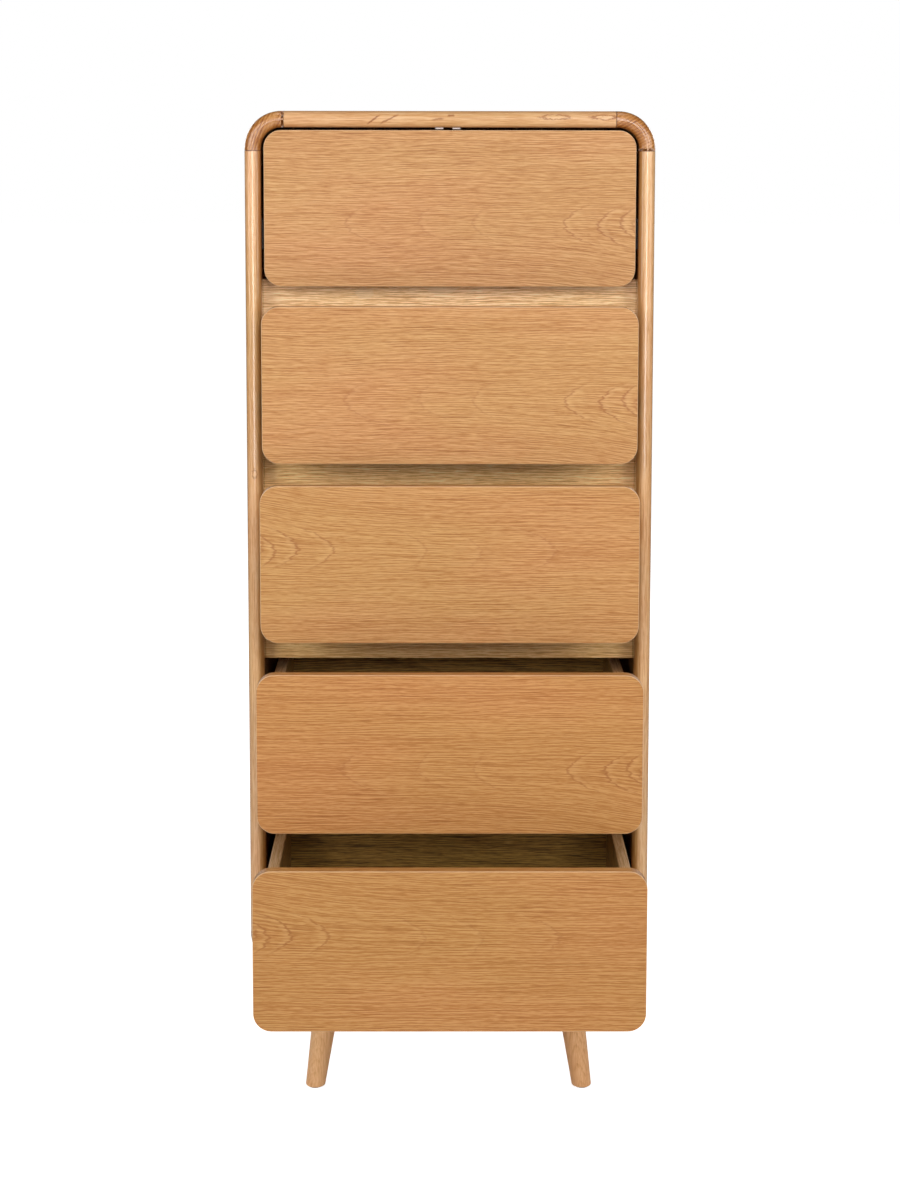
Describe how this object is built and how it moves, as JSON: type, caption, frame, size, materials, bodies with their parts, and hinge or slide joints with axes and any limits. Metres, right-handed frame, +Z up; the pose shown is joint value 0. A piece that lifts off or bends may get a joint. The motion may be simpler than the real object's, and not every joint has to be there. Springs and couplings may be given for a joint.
{
  "type": "tall chest of drawers",
  "caption": "Tall narrow oak chest of drawers with rounded case corners, handle-less fronts with finger gaps, drawers on full-extension slides, and splayed round legs.",
  "frame": {"origin": "on the floor, under the middle of the whole object's box as it is stored, with its drawers staggered open", "axes": "+Z up; +X to the chest's right as seen from the front; the drawer fronts face -Y"},
  "size_m": [0.6, 0.822, 1.504],
  "materials": {
    "front_oak": "oak veneer, fine straight open grain, satin lacquer",
    "case_oak": "solid oak, satin lacquer",
    "corner_oak": "solid oak showing slanting end grain, satin lacquer",
    "rail_oak": "pale oak, satin",
    "leg_oak": "turned solid oak, satin lacquer",
    "drawer_box_oak": "pale oak, satin",
    "drawer_base_ply": "oak-faced plywood, matt",
    "back_ply": "oak-faced plywood, matt",
    "beech_dowel": "beech, fluted, raw",
    "slide_steel": "black-coated rolled steel",
    "plate_steel": "black powder-coated steel",
    "fastener_steel": "zinc-plated steel",
    "glide_felt": "brown felt",
    "buffer_pad": "light grey soft rubber"
  },
  "bodies": {
    "case": {"left_side_panel": "case_oak", "right_side_panel": "case_oak", "top_panel": "case_oak", "bottom_panel": "case_oak", "corner_block_top_left": "corner_oak", "corner_block_top_right": "corner_oak", "corner_block_bottom_left": "corner_oak", "corner_block_bottom_right": "corner_oak", "back_panel": "back_ply", "back_panel_screws": "fastener_steel", "divider_rail_1": "rail_oak", "divider_rail_2": "rail_oak", "divider_rail_3": "rail_oak", "divider_rail_4": "rail_oak", "case_dowels": "beech_dowel", "closing_buffers": "buffer_pad", "leg_front_left": "leg_oak", "leg_front_right": "leg_oak", "leg_rear_left": "leg_oak", "leg_rear_right": "leg_oak", "leg_plates": "plate_steel", "leg_bolts": "fastener_steel", "leg_plate_screws": "fastener_steel", "foot_glides": "glide_felt", "slide_case_members": "slide_steel"},
    "drawer_1": {"drawer_1_front": "front_oak", "drawer_1_left_side": "drawer_box_oak", "drawer_1_right_side": "drawer_box_oak", "drawer_1_back": "drawer_box_oak", "drawer_1_bottom": "drawer_base_ply", "slide_1_drawer_members": "slide_steel"},
    "slide_1": {"slide_1_middle_members": "slide_steel"},
    "drawer_2": {"drawer_2_front": "front_oak", "drawer_2_left_side": "drawer_box_oak", "drawer_2_right_side": "drawer_box_oak", "drawer_2_back": "drawer_box_oak", "drawer_2_bottom": "drawer_base_ply", "slide_2_drawer_members": "slide_steel"},
    "slide_2": {"slide_2_middle_members": "slide_steel"},
    "drawer_3": {"drawer_3_front": "front_oak", "drawer_3_left_side": "drawer_box_oak", "drawer_3_right_side": "drawer_box_oak", "drawer_3_back": "drawer_box_oak", "drawer_3_bottom": "drawer_base_ply", "slide_3_drawer_members": "slide_steel"},
    "slide_3": {"slide_3_middle_members": "slide_steel"},
    "drawer_4": {"drawer_4_front": "front_oak", "drawer_4_left_side": "drawer_box_oak", "drawer_4_right_side": "drawer_box_oak", "drawer_4_back": "drawer_box_oak", "drawer_4_bottom": "drawer_base_ply", "slide_4_drawer_members": "slide_steel"},
    "slide_4": {"slide_4_middle_members": "slide_steel"},
    "drawer_5": {"drawer_5_front": "front_oak", "drawer_5_left_side": "drawer_box_oak", "drawer_5_right_side": "drawer_box_oak", "drawer_5_back": "drawer_box_oak", "drawer_5_bottom": "drawer_base_ply", "slide_5_drawer_members": "slide_steel"},
    "slide_5": {"slide_5_middle_members": "slide_steel"}
  },
  "joints": [
    {"name": "drawer_1_slide", "type": "slide", "parent": "case", "child": "drawer_1", "axis": [0, -1, 0], "range_m": [0, 0.45]},
    {"name": "slide_1_middle", "type": "slide", "parent": "case", "child": "slide_1", "axis": [0, -1, 0], "range_m": [0, 0.225]},
    {"name": "drawer_2_slide", "type": "slide", "parent": "case", "child": "drawer_2", "axis": [0, -1, 0], "range_m": [-0.074, 0.376]},
    {"name": "slide_2_middle", "type": "slide", "parent": "case", "child": "slide_2", "axis": [0, -1, 0], "range_m": [-0.037, 0.188]},
    {"name": "drawer_3_slide", "type": "slide", "parent": "case", "child": "drawer_3", "axis": [0, -1, 0], "range_m": [-0.129, 0.321]},
    {"name": "slide_3_middle", "type": "slide", "parent": "case", "child": "slide_3", "axis": [0, -1, 0], "range_m": [-0.0645, 0.1605]},
    {"name": "drawer_4_slide", "type": "slide", "parent": "case", "child": "drawer_4", "axis": [0, -1, 0], "range_m": [-0.226, 0.224]},
    {"name": "slide_4_middle", "type": "slide", "parent": "case", "child": "slide_4", "axis": [0, -1, 0], "range_m": [-0.113, 0.112]},
    {"name": "drawer_5_slide", "type": "slide", "parent": "case", "child": "drawer_5", "axis": [0, -1, 0], "range_m": [-0.322, 0.128]},
    {"name": "slide_5_middle", "type": "slide", "parent": "case", "child": "slide_5", "axis": [0, -1, 0], "range_m": [-0.161, 0.064]}
  ],
  "couplings": [
    {"joint": "slide_1_middle", "follows": "drawer_1_slide", "ratio": 0.5},
    {"joint": "slide_2_middle", "follows": "drawer_2_slide", "ratio": 0.5},
    {"joint": "slide_3_middle", "follows": "drawer_3_slide", "ratio": 0.5},
    {"joint": "slide_4_middle", "follows": "drawer_4_slide", "ratio": 0.5},
    {"joint": "slide_5_middle", "follows": "drawer_5_slide", "ratio": 0.5}
  ]
}
